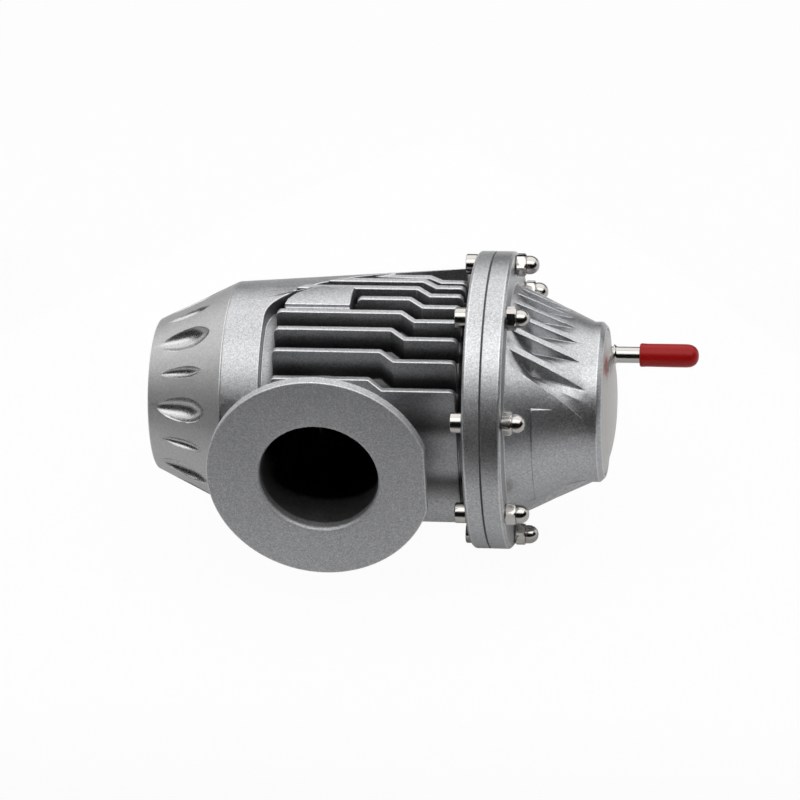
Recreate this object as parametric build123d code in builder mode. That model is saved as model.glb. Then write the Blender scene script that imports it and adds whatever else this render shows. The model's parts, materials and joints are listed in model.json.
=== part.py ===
from build123d import *
import os
from math import cos, radians, sin, sqrt

# Blow off valve: a finned die-cast body with a side inlet flange, a scalloped outlet cone,
# a bolted diaphragm cover, and a two-stage valve that the diaphragm pulls open.
# Frame: the origin is the centre of the inlet flange face, which looks along -Y. The main
# axis runs along X at the depth AXIS_DEPTH behind that face, with the outlet at -X and the
# vacuum cover at +X. Z is up. Stations along the main axis are measured from the inlet axis.

# Inlet neck and flange
AXIS_DEPTH = 40.8
INLET_BORE_R = 15.75
INLET_LIP_ROUND = 1.2
NECK_WALL = 3.4
INLET_FLANGE_R = 29.7
INLET_FLANGE_T = 3.1
INLET_FLANGE_FLAT_X = 28.2

# Body casting
PARTING_X = 42.3
MAIN_FLANGE_R = 40.0
BODY_FLANGE_T = 4.6
SCREW_GROOVE = 3.4
NECK_ROUND = 2.2
CORE_R = 27.7
SKIN_START_X = -27.3
SKIN_START_R = 30.8
SKIN_STEP = 4.8
CHAMBER_R = 24.0
CHAMBER_END_WALL = 3.3
PARTITION_T = 4.0
DIAPHRAGM_ROOM = 22.3
BODY_FLANGE_BAND = 9.4
BOWL_STEP = 5.4
BOWL_WALL = 2.5
BOWL_MOUTH_DEPTH = 3.6
GUIDE_BOSS_R = 8.0
GUIDE_BOSS_LENGTH = 11.0
GUIDE_BOSS_RISE = 1.0
BALANCE_HOLE_R = 3.4
BALANCE_HOLE_COUNT = 4
BALANCE_CIRCLE_R = 18.0
BALANCE_FIRST_ANGLE = 45.0
SPIGOT_R = 25.5
SPIGOT_LENGTH = 5.0

# Fins in the pocket above the barrel, mirrored below it; heights are from the main axis
FIN_COUNT = 8
FIN_T = 1.9
FIN_FRONT_Y = -25.0
FIN_PITCH = 5.6
FIN_STEPPED_FRONT_Y = -26.85
FIN_STEPPED_PITCH = 5.34
FIN_TIP_R = 33.0
FIN_STEPPED_TIP_R = 32.5
FIN_STEPPED_TIP_SHIFT = -0.8
FIN_START_X = -13.7
FIN_CORNER_ROUND = 1.6
FIN_END_REACH = 1.1
JOG_LENGTH = 3.7
JOG_FIRST_FROM_END = 21.9
JOG_STEP = 2.9
JOG_STEP_FALL = 0.17
POCKET_START_X = -17.0
POCKET_START_Y = -9.0
POCKET_EDGE = ((-13.4, -1.3), (-0.3, 8.6), (14.0, 14.8))
POCKET_BACK_Y = 17.8
PAD_FRONT_Y = -5.9
PAD_EDGE = ((-11.8, -5.9), (-11.2, -3.5), (-9.5, -1.0), (-6.4, 1.5))
PAD_BACK_X = -3.5
PAD_LEDGE_X = -11.6
PAD_END_X = 5.7
PAD_BACK_FIN = 5
PAD_LEDGE_DROP = 0.9
PAD_FRONT_FIN = 3
PAD_SPLIT_FIN = 4
PAD_SPLIT_FIN_X = 7.2

# Outlet cone and what it holds
CONE_LENGTH = 21.4
CONE_MOUTH_R = 20.4
OUTLET_BORE_R = 17.5
OUTLET_SHOULDER_R = 15.8
OUTLET_SHOULDER_T = 6.2
INSERT_LENGTH = 8.5
INSERT_WALL = 1.5
INSERT_HUB_R = 4.0
VANE_COUNT = 6
VANE_T = 1.4
RING_CLIP_T = 1.0
RING_CLIP_GROOVE = 1.1
RING_CLIP_LIP = 0.9
RING_CLIP_WIDTH = 2.4
RING_CLIP_GAP_ANGLE = 18.0
SCALLOP_COUNT = 8
SCALLOP_LONG = 15.9
SCALLOP_WIDE = 6.9
SCALLOP_DEEP = 2.4
SLOT_LONG = 13.0
SLOT_WIDE = 3.2
SLOT_DEEP = 1.2
SCALLOP_FROM_ROOT = 11.5
SCALLOP_LEAN = 0.2

# Valve seat and valves
SEAT_RIM = 0.5
VALVE_OVERLAP = 4.0
SEAT_LIP_WIDTH = 1.2
SEAT_LIP_HEIGHT = 0.5
SEAL_T = 1.5
MAIN_VALVE_R = 20.5
MAIN_VALVE_T = 3.5
PILOT_PORT_R = 7.5
PILOT_LIP_WIDTH = 1.1
PILOT_LIP_HEIGHT = 0.7
PILOT_SEAL_T = 1.2
PILOT_DISC_R = 10.4
PILOT_DISC_T = 1.8
VALVE_HUB_R = 3.9
SPOKE_COUNT = 3
SPOKE_T = 2.2
MAIN_LIFT = 6.0
PILOT_LIFT = 2.0
COLLAR_R = 3.6
COLLAR_T = 2.0

# Stem, guide and diaphragm pack
STEM_R = 3.0
STEM_THREAD_R = 2.0
STEM_TAIL = 0.9
BUSH_R = 5.0
BUSH_LENGTH = 13.0
STEM_SEAL_T = 1.5
STEM_SEAL_DEPTH = 1.3
DIAPHRAGM_T = 0.5
DIAPHRAGM_DROP = 3.0
ROLL_R = 2.1
ROLL_INSET = 11.0
PLATE_T = 1.25
PLATE_ROOM = 1.6
PLATE_STEP = 1.6
PLATE_LIP = 1.6
WASHER_R = 4.5
WASHER_T = 0.8
STEM_NUT_FLATS = 7.0
STEM_NUT_T = 3.2

# Springs
MAIN_SPRING_R = 12.0
MAIN_SPRING_WIRE_R = 0.9
MAIN_SPRING_TURNS = 6
PILOT_SPRING_R = 9.5
PILOT_SPRING_WIRE_R = 0.7
PILOT_SPRING_TURNS = 7
SPRING_SEAT_GAP = 0.1

# Diaphragm cover
COVER_FLANGE_T = 5.2
COVER_FLANGE_BAND = 8.4
COVER_CONE_LENGTH = 21.2
COVER_SHOULDER_R = 21.5
COVER_RIM_LENGTH = 2.1
COVER_RIM_ROUND = 1.3
COVER_END_T = 3.4
COVER_ROOM_STEP = 7.7
COVER_ROOM_LENGTH = 6.0
COVER_ROOM_TAPER = 1.3
COVER_END_WALL = 4.0
COVER_MOUTH_BAND = 8.0
COVER_MOUTH_DEPTH = 3.0
RIB_T = 1.4
GILL_COUNT = 7
GILL_START = 0.7
GILL_DEEP_AT = 6.4
GILL_END = 0.6
GILL_END_STEP = 0.8
GILL_DEPTH = 4.8
GILL_DEPTH_FALL = 0.45
GILL_RISE = 0.15
GILL_SIDE = 0.4
PANEL_START = 6.9
PANEL_LENGTH = 5.6
PANEL_RISE = 0.3
PANEL_TOP_ANGLE = 27.4
PANEL_BOTTOM_ANGLE = -34.0

# End badge, vacuum nipple and its cap
BADGE_R = 17.6
BADGE_RECESS = 0.6
BADGE_RIM_T = 0.5
BADGE_CROWN = 2.7
BADGE_EDGE_DROP = 1.15
BADGE_EDGE_R = 14.6
END_GROOVE_R = 19.7
END_GROOVE_WIDTH = 0.5
END_GROOVE_DEPTH = 0.6
NIPPLE_R = 2.2
NIPPLE_BORE_R = 1.3
NIPPLE_CIRCLE_R = 13.1
NIPPLE_ANGLE = 135.0
NIPPLE_LENGTH = 22.8
CAP_R = 3.2
CAP_LENGTH = 15.8
CAP_TIP = 3.0
CAP_ON_NIPPLE = 11.0

# Fasteners
BOLT_COUNT = 8
BOLT_EDGE = 3.3
BOLT_FIRST_ANGLE = 22.5
BOLT_R = 1.5
BOLT_HEAD_R = 2.75
BOLT_HEAD_T = 3.0
BOLT_KEY_FLATS = 2.5
BOLT_KEY_DEPTH = 1.5
NUT_FLATS = 5.5
NUT_HEX_T = 2.9
NUT_DOME_R = 2.5
NUT_T = 6.3
NUT_THREAD_DEPTH = 4.6
BOLT_TAIL_ROOM = 0.6

# Clearances
BOLT_CLEARANCE = 0.2
THREAD_CLEARANCE = 0.05
FIT_CLEARANCE = 0.05
RUNNING_CLEARANCE = 0.05
EDGE_ROUND = 0.7
FINE_EDGE = 0.35

# Stations worked out from the sizes above
AXIS_Y = AXIS_DEPTH
MAIN_AXIS = Axis((0, AXIS_Y, 0), (1, 0, 0))
PROFILE = Plane(origin=(0, AXIS_Y, 0), x_dir=(1, 0, 0), z_dir=(0, 0, 1))
SKIN_END_R = MAIN_FLANGE_R - SKIN_STEP
BOWL_MOUTH_R = MAIN_FLANGE_R - BODY_FLANGE_BAND
BOWL_R = BOWL_MOUTH_R - BOWL_STEP
BOLT_CIRCLE_R = MAIN_FLANGE_R - BOLT_EDGE
COVER_CONE_R = MAIN_FLANGE_R - COVER_FLANGE_BAND
COVER_MOUTH_R = MAIN_FLANGE_R - COVER_MOUTH_BAND
COVER_ROOM_R = COVER_MOUTH_R - COVER_ROOM_STEP
ROLL_CENTRE_R = MAIN_FLANGE_R - ROLL_INSET
LOWER_PLATE_R = BOWL_R - PLATE_ROOM
UPPER_PLATE_R = LOWER_PLATE_R - PLATE_STEP
SEAT_R = MAIN_VALVE_R + SEAT_RIM
SEAT_BORE_R = MAIN_VALVE_R - VALVE_OVERLAP
BORE_END_Y = AXIS_DEPTH - sqrt(CHAMBER_R**2 - INLET_BORE_R**2)
BODY_FLANGE_X = PARTING_X - BODY_FLANGE_T
BARREL_END_X = BODY_FLANGE_X - SCREW_GROOVE
FIN_END_X = BARREL_END_X + FIN_END_REACH
SPIGOT_END_X = SKIN_START_X - SPIGOT_LENGTH
CONE_MOUTH_X = SKIN_START_X - CONE_LENGTH
CHAMBER_START_X = SKIN_START_X + CHAMBER_END_WALL
PARTITION_END_X = PARTING_X - DIAPHRAGM_ROOM + PARTITION_T
PARTITION_X = PARTITION_END_X - PARTITION_T
GUIDE_BOSS_END_X = PARTITION_END_X + GUIDE_BOSS_RISE
GUIDE_BOSS_X = GUIDE_BOSS_END_X - GUIDE_BOSS_LENGTH
SEAT_LIP_X = CHAMBER_START_X + SEAT_LIP_HEIGHT
MAIN_VALVE_X = SEAT_LIP_X + SEAL_T
MAIN_VALVE_END_X = MAIN_VALVE_X + MAIN_VALVE_T
PILOT_SEAL_X = MAIN_VALVE_END_X + PILOT_LIP_HEIGHT
PILOT_DISC_X = PILOT_SEAL_X + PILOT_SEAL_T
STEM_SHOULDER_X = PILOT_DISC_X + PILOT_DISC_T
COLLAR_END_X = MAIN_VALVE_X - PILOT_LIFT
COLLAR_X = COLLAR_END_X - COLLAR_T
DIAPHRAGM_X = PARTING_X + DIAPHRAGM_T
LOWER_PLATE_END_X = PARTING_X - DIAPHRAGM_DROP
LOWER_PLATE_X = LOWER_PLATE_END_X - PLATE_T
UPPER_PLATE_X = LOWER_PLATE_END_X + DIAPHRAGM_T
UPPER_PLATE_END_X = UPPER_PLATE_X + PLATE_T
WASHER_END_X = UPPER_PLATE_END_X + WASHER_T
STEM_NUT_END_X = WASHER_END_X + STEM_NUT_T
STEM_END_X = STEM_NUT_END_X + STEM_TAIL
COVER_FLANGE_END_X = DIAPHRAGM_X + COVER_FLANGE_T
COVER_MOUTH_END_X = DIAPHRAGM_X + COVER_MOUTH_DEPTH
PANEL_X = COVER_FLANGE_END_X + PANEL_START
COVER_SHOULDER_X = COVER_FLANGE_END_X + COVER_CONE_LENGTH
COVER_END_X = COVER_SHOULDER_X + COVER_RIM_LENGTH + COVER_RIM_ROUND
COVER_INNER_END_X = COVER_END_X - COVER_END_T
BADGE_SEAT_X = COVER_END_X - BADGE_RECESS
BADGE_RIM_X = BADGE_SEAT_X + BADGE_RIM_T
BADGE_END_X = BADGE_RIM_X + BADGE_CROWN
NIPPLE_X = COVER_INNER_END_X
NIPPLE_END_X = NIPPLE_X + NIPPLE_LENGTH
CAP_X = NIPPLE_END_X - CAP_ON_NIPPLE
CAP_END_X = CAP_X + CAP_LENGTH
HEADROOM = 2 * MAIN_FLANGE_R
INSERT_END_X = SPIGOT_END_X - OUTLET_SHOULDER_T
INSERT_X = INSERT_END_X - INSERT_LENGTH
CLIP_X = INSERT_X - RING_CLIP_GROOVE
BUSH_X = GUIDE_BOSS_END_X - BUSH_LENGTH


def cross_plane(x):
    """Plane square to the main axis; its X runs towards the inlet and its Y runs up."""
    return Plane(origin=(x, AXIS_Y, 0), x_dir=(0, -1, 0), z_dir=(-1, 0, 0))


def around(radius, angle, x=0.0):
    """Point beside the main axis; the angle runs from the inlet side up."""
    return (x, AXIS_Y - radius * cos(radians(angle)), radius * sin(radians(angle)))


def half_section(*corners):
    """Face between (station, radius) corners, ready to turn about the main axis."""
    with BuildSketch(PROFILE) as face:
        with BuildLine():
            Polyline(*corners, close=True)
        make_face()
    return face.sketch


def seen_from_above(*corners):
    """Face between (x, y from the main axis) corners, on the mould's parting plane."""
    with BuildSketch(Plane.XY) as face:
        with BuildLine():
            Polyline(*[(x, y + AXIS_Y) for x, y in corners], close=True)
        make_face()
    return face.sketch


def lift_of(radius, y):
    """Height above the main axis at which a circle of this radius stands over y."""
    return sqrt(radius * radius - y * y)


def cover_radius(x):
    """Radius of the cover's outer cone at a station."""
    share = (x - COVER_FLANGE_END_X) / COVER_CONE_LENGTH
    return COVER_CONE_R + share * (COVER_SHOULDER_R - COVER_CONE_R)


def cover_station(radius):
    """Station at which the cover's outer cone has narrowed to a radius."""
    share = (COVER_CONE_R - radius) / (COVER_CONE_R - COVER_SHOULDER_R)
    return COVER_FLANGE_END_X + share * COVER_CONE_LENGTH


def cone_radius(x):
    """Radius of the outlet cone at a station."""
    share = (x - CONE_MOUTH_X) / CONE_LENGTH
    return CONE_MOUTH_R + share * (SKIN_START_R - CONE_MOUTH_R)


def fin(number):
    """One cooling fin: a strip that steps towards the inlet, cut to its stepped side view."""
    left_y = FIN_FRONT_Y + number * FIN_PITCH
    right_y = FIN_STEPPED_FRONT_Y + number * FIN_STEPPED_PITCH
    left_z = lift_of(FIN_TIP_R, left_y)
    right_z = lift_of(FIN_STEPPED_TIP_R, right_y - FIN_STEPPED_TIP_SHIFT)
    start = PAD_SPLIT_FIN_X if number == PAD_SPLIT_FIN else FIN_START_X
    jog = BARREL_END_X - JOG_FIRST_FROM_END + number * JOG_STEP - number**2 * JOG_STEP_FALL
    jog_end = jog + JOG_LENGTH
    half = FIN_T / 2
    with BuildPart() as plate:
        with BuildSketch(Plane.XY):
            with BuildLine():
                Polyline(
                    (start, AXIS_Y + left_y - half),
                    (jog, AXIS_Y + left_y - half),
                    (jog_end, AXIS_Y + right_y - half),
                    (FIN_END_X, AXIS_Y + right_y - half),
                    (FIN_END_X, AXIS_Y + right_y + half),
                    (jog_end + half / 2, AXIS_Y + right_y + half),
                    (jog + half / 2, AXIS_Y + left_y + half),
                    (start, AXIS_Y + left_y + half),
                    close=True,
                )
            make_face()
        extrude(amount=HEADROOM)
        with BuildSketch(Plane.XZ):
            with BuildLine():
                Polyline(
                    (start, 0),
                    (start, left_z),
                    (jog, left_z),
                    (jog_end, right_z),
                    (FIN_END_X, right_z),
                    (FIN_END_X, 0),
                    close=True,
                )
            side = make_face()
            tops = side.vertices().filter_by(lambda v: v.Y > FINE_EDGE).sort_by(Axis.X)
            fillet([tops[0], tops[-1]], radius=FIN_CORNER_ROUND)
        extrude(amount=-HEADROOM, mode=Mode.INTERSECT)
    return plate.part


def scoop(length, width, depth, angle):
    """Teardrop cutter for the outlet cone: a turned body whose axis floats over the surface."""
    body_r = (width * width / 4 + depth * depth) / (2 * depth)
    rise = body_r - depth
    middle = SKIN_START_X - SCALLOP_FROM_ROOT
    slope = (SKIN_START_R - CONE_MOUTH_R) / CONE_LENGTH
    across = radians(angle)
    along = Vector(1, -slope * cos(across), slope * sin(across)).normalized()
    outward = Vector(-slope, -cos(across), sin(across)).normalized()
    centre = Vector(*around(cone_radius(middle), angle, middle)) + outward * rise
    half = length / 2
    with BuildPart() as cutter:
        with BuildSketch(Plane(origin=centre, x_dir=along, z_dir=outward)):
            with BuildLine():
                peak = (half * SCALLOP_LEAN, body_r)
                rear = TangentArc(peak, (half, rise), tangent=(1, 0))
                front = TangentArc(peak, (-half, rise), tangent=(-1, 0))
                Polyline(rear @ 1, (half, 0), (-half, 0), front @ 1)
            make_face()
        revolve(axis=Axis(centre, along))
    return cutter.part


def gill(number):
    """Cutter between two ribs of the cover, which stand in line with the body's fins.

    It leaves the front rib's crest, a floor that slopes down to the back rib, and that rib's
    steep face. Both its ends rise out of the cone, so that the cut fades in and out. It ends
    before the shoulder, or where the cone has narrowed to the gill's outer side."""
    front = FIN_STEPPED_FRONT_Y + number * FIN_STEPPED_PITCH + RIB_T / 2
    back = front + FIN_STEPPED_PITCH - RIB_T
    middle = (front + back) / 2
    depth = GILL_DEPTH - (number - 1) * GILL_DEPTH_FALL
    outer = max(abs(front), abs(back)) + GILL_SIDE
    shoulder_end = COVER_SHOULDER_X - GILL_END - (number - 1) * GILL_END_STEP
    last_x = min(shoulder_end, cover_station(outer))
    with BuildPart() as cutter:
        for x, rise, drop in (
            (COVER_FLANGE_END_X + GILL_START, GILL_RISE, 0),
            (COVER_FLANGE_END_X + GILL_DEEP_AT, 0, depth),
            (last_x, GILL_RISE, 0),
        ):
            surface = cover_radius(x) + rise
            with BuildSketch(cross_plane(x)):
                with BuildLine():
                    Polyline(
                        (-front, lift_of(surface, front)),
                        (-middle, lift_of(surface, middle) - drop / 2),
                        (-back, lift_of(surface, back) - drop),
                        (-back, HEADROOM),
                        (-front, HEADROOM),
                        close=True,
                    )
                make_face()
        loft(ruled=True)
    return cutter.part


def coil(first_x, last_x, radius, wire_r, turns):
    """Compression spring along the main axis between two seats."""
    start_x = first_x + SPRING_SEAT_GAP + wire_r
    height = last_x - first_x - 2 * (SPRING_SEAT_GAP + wire_r)
    with BuildPart() as spring:
        with BuildLine() as path:
            Helix(height / turns, height, radius, center=(start_x, AXIS_Y, 0), direction=(1, 0, 0))
        with BuildSketch(Plane(origin=path.line @ 0, z_dir=path.line % 0)):
            Circle(wire_r)
        sweep(is_frenet=True)
    return spring.part


def nipple_plane(x):
    """Plane square to the vacuum nipple, looking along +X."""
    return Plane(origin=around(NIPPLE_CIRCLE_R, NIPPLE_ANGLE, x), z_dir=(1, 0, 0))


def bolt_holes(x, radius, amount):
    """Round holes on the bolt circle, sunk from a station along -X."""
    with BuildSketch(cross_plane(x)) as holes:
        with PolarLocations(BOLT_CIRCLE_R, BOLT_COUNT, start_angle=BOLT_FIRST_ANGLE):
            Circle(radius)
    return extrude(holes.sketch, amount=amount, mode=Mode.PRIVATE)


os.makedirs("parts", exist_ok=True)

# Valve body: pocket outline, skin, fins and pads first, then the casting that joins them
with BuildPart() as pocket:
    with BuildSketch(Plane.XY):
        with BuildLine():
            edge = Spline(
                (POCKET_START_X, AXIS_Y + POCKET_START_Y),
                *[(x, AXIS_Y + y) for x, y in POCKET_EDGE],
                (BARREL_END_X, AXIS_Y + POCKET_BACK_Y),
                tangents=[(0, 1), (1, 0.1)],
            )
            Polyline(
                edge @ 1,
                (PARTING_X, AXIS_Y + POCKET_BACK_Y),
                (PARTING_X, 0),
                (POCKET_START_X, 0),
                edge @ 0,
            )
        make_face()
    extrude(amount=HEADROOM, both=True)

with BuildPart() as skin:
    revolve(
        half_section(
            (SKIN_START_X, CORE_R - NECK_ROUND),
            (SKIN_START_X, SKIN_START_R),
            (BARREL_END_X, SKIN_END_R),
            (BARREL_END_X, CORE_R - NECK_ROUND),
        ),
        axis=MAIN_AXIS,
    )
    add(pocket.part, mode=Mode.SUBTRACT)
    with BuildSketch(Plane.XZ.offset(-(AXIS_Y + FIN_STEPPED_FRONT_Y - FIN_T / 2))):
        Rectangle(2 * HEADROOM, 2 * HEADROOM)
    extrude(amount=AXIS_DEPTH, mode=Mode.SUBTRACT)

fins = [fin(number) for number in range(FIN_COUNT)]
pad_back_y = FIN_FRONT_Y + PAD_BACK_FIN * FIN_PITCH
pad_front_fin_y = FIN_FRONT_Y + PAD_FRONT_FIN * FIN_PITCH

with BuildPart() as pad:
    extrude(
        seen_from_above(
            *PAD_EDGE,
            (PAD_BACK_X, pad_back_y),
            (PAD_END_X, pad_back_y),
            (PAD_END_X, PAD_FRONT_Y),
        ),
        amount=HEADROOM,
    )
    with BuildSketch(cross_plane(FIN_START_X)):
        Circle(FIN_TIP_R)
    extrude(amount=-HEADROOM, mode=Mode.INTERSECT)

with BuildPart() as pad_ledge:
    extrude(
        seen_from_above(
            (PAD_LEDGE_X, pad_front_fin_y),
            (PAD_LEDGE_X, PAD_FRONT_Y),
            (PAD_END_X, PAD_FRONT_Y),
            (PAD_END_X, pad_front_fin_y),
        ),
        amount=HEADROOM,
    )
    with BuildSketch(cross_plane(FIN_START_X)):
        Circle(FIN_TIP_R - PAD_LEDGE_DROP)
    extrude(amount=-HEADROOM, mode=Mode.INTERSECT)

with BuildPart() as fin_field:
    for plate in fins:
        add(plate)
    add(pocket.part, mode=Mode.INTERSECT)
    add(pad.part)
    add(pad_ledge.part)
    mirror(about=Plane.XY)

with BuildPart() as valve_body:
    revolve(
        half_section(
            (SPIGOT_END_X, 0),
            (SPIGOT_END_X, SPIGOT_R),
            (SKIN_START_X, SPIGOT_R),
            (SKIN_START_X, CORE_R),
            (PARTITION_X - NECK_ROUND, CORE_R),
            (PARTITION_X, BOWL_R + BOWL_WALL),
            (BODY_FLANGE_X - NECK_ROUND, BOWL_R + BOWL_WALL),
            (BODY_FLANGE_X, BOWL_R + BOWL_WALL + NECK_ROUND),
            (BODY_FLANGE_X, MAIN_FLANGE_R - EDGE_ROUND),
            (BODY_FLANGE_X + EDGE_ROUND, MAIN_FLANGE_R),
            (PARTING_X, MAIN_FLANGE_R),
            (PARTING_X, 0),
        ),
        axis=MAIN_AXIS,
    )
    add(skin.part)
    add(fin_field.part)
    with BuildSketch(Plane.XZ):
        Circle(INLET_FLANGE_R)
        with Locations((INLET_FLANGE_FLAT_X, 0)):
            Rectangle(
                INLET_FLANGE_R,
                2 * INLET_FLANGE_R,
                align=(Align.MIN, Align.CENTER),
                mode=Mode.SUBTRACT,
            )
    extrude(amount=-INLET_FLANGE_T)
    with BuildSketch(Plane.XZ):
        Circle(INLET_BORE_R + NECK_WALL)
    extrude(amount=-AXIS_DEPTH)
    revolve(
        half_section(
            (CHAMBER_START_X, 0),
            (CHAMBER_START_X, CHAMBER_R),
            (PARTITION_X, CHAMBER_R),
            (PARTITION_X, GUIDE_BOSS_R),
            (GUIDE_BOSS_X, GUIDE_BOSS_R),
            (GUIDE_BOSS_X, 0),
        ),
        axis=MAIN_AXIS,
        mode=Mode.SUBTRACT,
    )
    revolve(
        half_section(
            (GUIDE_BOSS_END_X, 0),
            (GUIDE_BOSS_END_X, GUIDE_BOSS_R),
            (PARTITION_END_X, GUIDE_BOSS_R),
            (PARTITION_END_X, BOWL_R),
            (PARTING_X - BOWL_MOUTH_DEPTH, BOWL_R),
            (PARTING_X, BOWL_MOUTH_R),
            (PARTING_X, 0),
        ),
        axis=MAIN_AXIS,
        mode=Mode.SUBTRACT,
    )
    with BuildSketch(cross_plane(SPIGOT_END_X)):
        Circle(SEAT_R + FIT_CLEARANCE)
    extrude(amount=-(SPIGOT_LENGTH + CHAMBER_END_WALL), mode=Mode.SUBTRACT)
    with BuildSketch(cross_plane(GUIDE_BOSS_END_X)):
        Circle(BUSH_R + FIT_CLEARANCE)
    extrude(amount=GUIDE_BOSS_LENGTH, mode=Mode.SUBTRACT)
    with BuildSketch(cross_plane(PARTITION_END_X)):
        with PolarLocations(BALANCE_CIRCLE_R, BALANCE_HOLE_COUNT, start_angle=BALANCE_FIRST_ANGLE):
            Circle(BALANCE_HOLE_R)
    extrude(amount=PARTITION_T, mode=Mode.SUBTRACT)
    with BuildSketch(Plane.XZ):
        Circle(INLET_BORE_R)
    extrude(amount=-BORE_END_Y, mode=Mode.SUBTRACT)
    add(bolt_holes(PARTING_X, BOLT_R + BOLT_CLEARANCE, BODY_FLANGE_T), mode=Mode.SUBTRACT)
    lip = edges().filter_by(GeomType.CIRCLE).filter_by_position(Axis.Y, -0.01, 0.01)
    fillet(lip.filter_by(lambda e: abs(e.radius - INLET_BORE_R) < FIT_CLEARANCE), radius=INLET_LIP_ROUND)
valve_body.part.label = "valve_body"
export_step(valve_body.part, "parts/valve_body.step")

# Outlet end: scalloped cone, its vaned insert, the ring that holds it, and the valve seat
with BuildPart() as outlet_cone:
    revolve(
        half_section(
            (CONE_MOUTH_X + FINE_EDGE, OUTLET_BORE_R),
            (CONE_MOUTH_X, OUTLET_BORE_R + FINE_EDGE),
            (CONE_MOUTH_X, CONE_MOUTH_R),
            (SKIN_START_X, SKIN_START_R),
            (SKIN_START_X, SPIGOT_R + FIT_CLEARANCE),
            (SPIGOT_END_X - FIT_CLEARANCE, SPIGOT_R + FIT_CLEARANCE),
            (SPIGOT_END_X - FIT_CLEARANCE, OUTLET_SHOULDER_R),
            (INSERT_END_X, OUTLET_SHOULDER_R),
            (INSERT_END_X, OUTLET_BORE_R),
            (CLIP_X + RING_CLIP_GROOVE, OUTLET_BORE_R),
            (CLIP_X + RING_CLIP_GROOVE, OUTLET_BORE_R + RING_CLIP_LIP),
            (CLIP_X, OUTLET_BORE_R + RING_CLIP_LIP),
            (CLIP_X, OUTLET_BORE_R),
        ),
        axis=MAIN_AXIS,
    )
    for number in range(SCALLOP_COUNT):
        turn = 360 / SCALLOP_COUNT
        add(scoop(SCALLOP_LONG, SCALLOP_WIDE, SCALLOP_DEEP, (number + 0.5) * turn), mode=Mode.SUBTRACT)
        add(scoop(SLOT_LONG, SLOT_WIDE, SLOT_DEEP, number * turn), mode=Mode.SUBTRACT)
outlet_cone.part.label = "outlet_cone"
export_step(outlet_cone.part, "parts/outlet_cone.step")

with BuildPart() as outlet_insert:
    insert_r = OUTLET_BORE_R - FIT_CLEARANCE
    hub_nose = INSERT_HUB_R / 2
    revolve(
        half_section(
            (INSERT_X, insert_r - INSERT_WALL),
            (INSERT_X, insert_r),
            (INSERT_END_X, insert_r),
            (INSERT_END_X, insert_r - INSERT_WALL),
        ),
        axis=MAIN_AXIS,
    )
    revolve(
        half_section(
            (INSERT_X, 0),
            (INSERT_X, hub_nose),
            (INSERT_X + hub_nose, INSERT_HUB_R),
            (INSERT_END_X - hub_nose, INSERT_HUB_R),
            (INSERT_END_X, hub_nose),
            (INSERT_END_X, 0),
        ),
        axis=MAIN_AXIS,
    )
    with BuildSketch(cross_plane(INSERT_END_X)):
        with PolarLocations(0, VANE_COUNT):
            with Locations((hub_nose, 0)):
                Rectangle(insert_r - INSERT_WALL / 2 - hub_nose, VANE_T, align=(Align.MIN, Align.CENTER))
    extrude(amount=INSERT_LENGTH)
outlet_insert.part.label = "outlet_insert"
export_step(outlet_insert.part, "parts/outlet_insert.step")

with BuildPart() as insert_clip:
    clip_r = OUTLET_BORE_R + RING_CLIP_LIP - FIT_CLEARANCE
    revolve(
        half_section(
            (CLIP_X, clip_r - RING_CLIP_WIDTH),
            (CLIP_X, clip_r),
            (CLIP_X + RING_CLIP_T, clip_r),
            (CLIP_X + RING_CLIP_T, clip_r - RING_CLIP_WIDTH),
        ),
        axis=MAIN_AXIS,
        revolution_arc=360 - RING_CLIP_GAP_ANGLE,
    )
insert_clip.part.label = "insert_clip"
export_step(insert_clip.part, "parts/insert_clip.step")

with BuildPart() as valve_seat:
    revolve(
        half_section(
            (SPIGOT_END_X, SEAT_BORE_R),
            (SPIGOT_END_X, SEAT_R),
            (CHAMBER_START_X, SEAT_R),
            (CHAMBER_START_X, SEAT_BORE_R + SEAT_LIP_WIDTH),
            (SEAT_LIP_X, SEAT_BORE_R + SEAT_LIP_WIDTH),
            (SEAT_LIP_X, SEAT_BORE_R),
        ),
        axis=MAIN_AXIS,
    )
valve_seat.part.label = "valve_seat"
export_step(valve_seat.part, "parts/valve_seat.step")

# Main valve: a spoked disc with a rubber face, which the collar lifts after the pilot valve
with BuildPart() as main_valve:
    revolve(
        half_section(
            (MAIN_VALVE_X, PILOT_PORT_R),
            (MAIN_VALVE_X, MAIN_VALVE_R),
            (MAIN_VALVE_END_X, MAIN_VALVE_R),
            (MAIN_VALVE_END_X, PILOT_PORT_R + PILOT_LIP_WIDTH),
            (PILOT_SEAL_X, PILOT_PORT_R + PILOT_LIP_WIDTH),
            (PILOT_SEAL_X, PILOT_PORT_R),
        ),
        axis=MAIN_AXIS,
    )
    with BuildSketch(cross_plane(MAIN_VALVE_END_X)):
        Circle(VALVE_HUB_R)
        with PolarLocations(0, SPOKE_COUNT):
            Rectangle(PILOT_PORT_R + PILOT_LIP_WIDTH, SPOKE_T, align=(Align.MIN, Align.CENTER))
        Circle(STEM_THREAD_R + RUNNING_CLEARANCE, mode=Mode.SUBTRACT)
    extrude(amount=MAIN_VALVE_T)
main_valve.part.label = "main_valve"
export_step(main_valve.part, "parts/main_valve.step")

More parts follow.
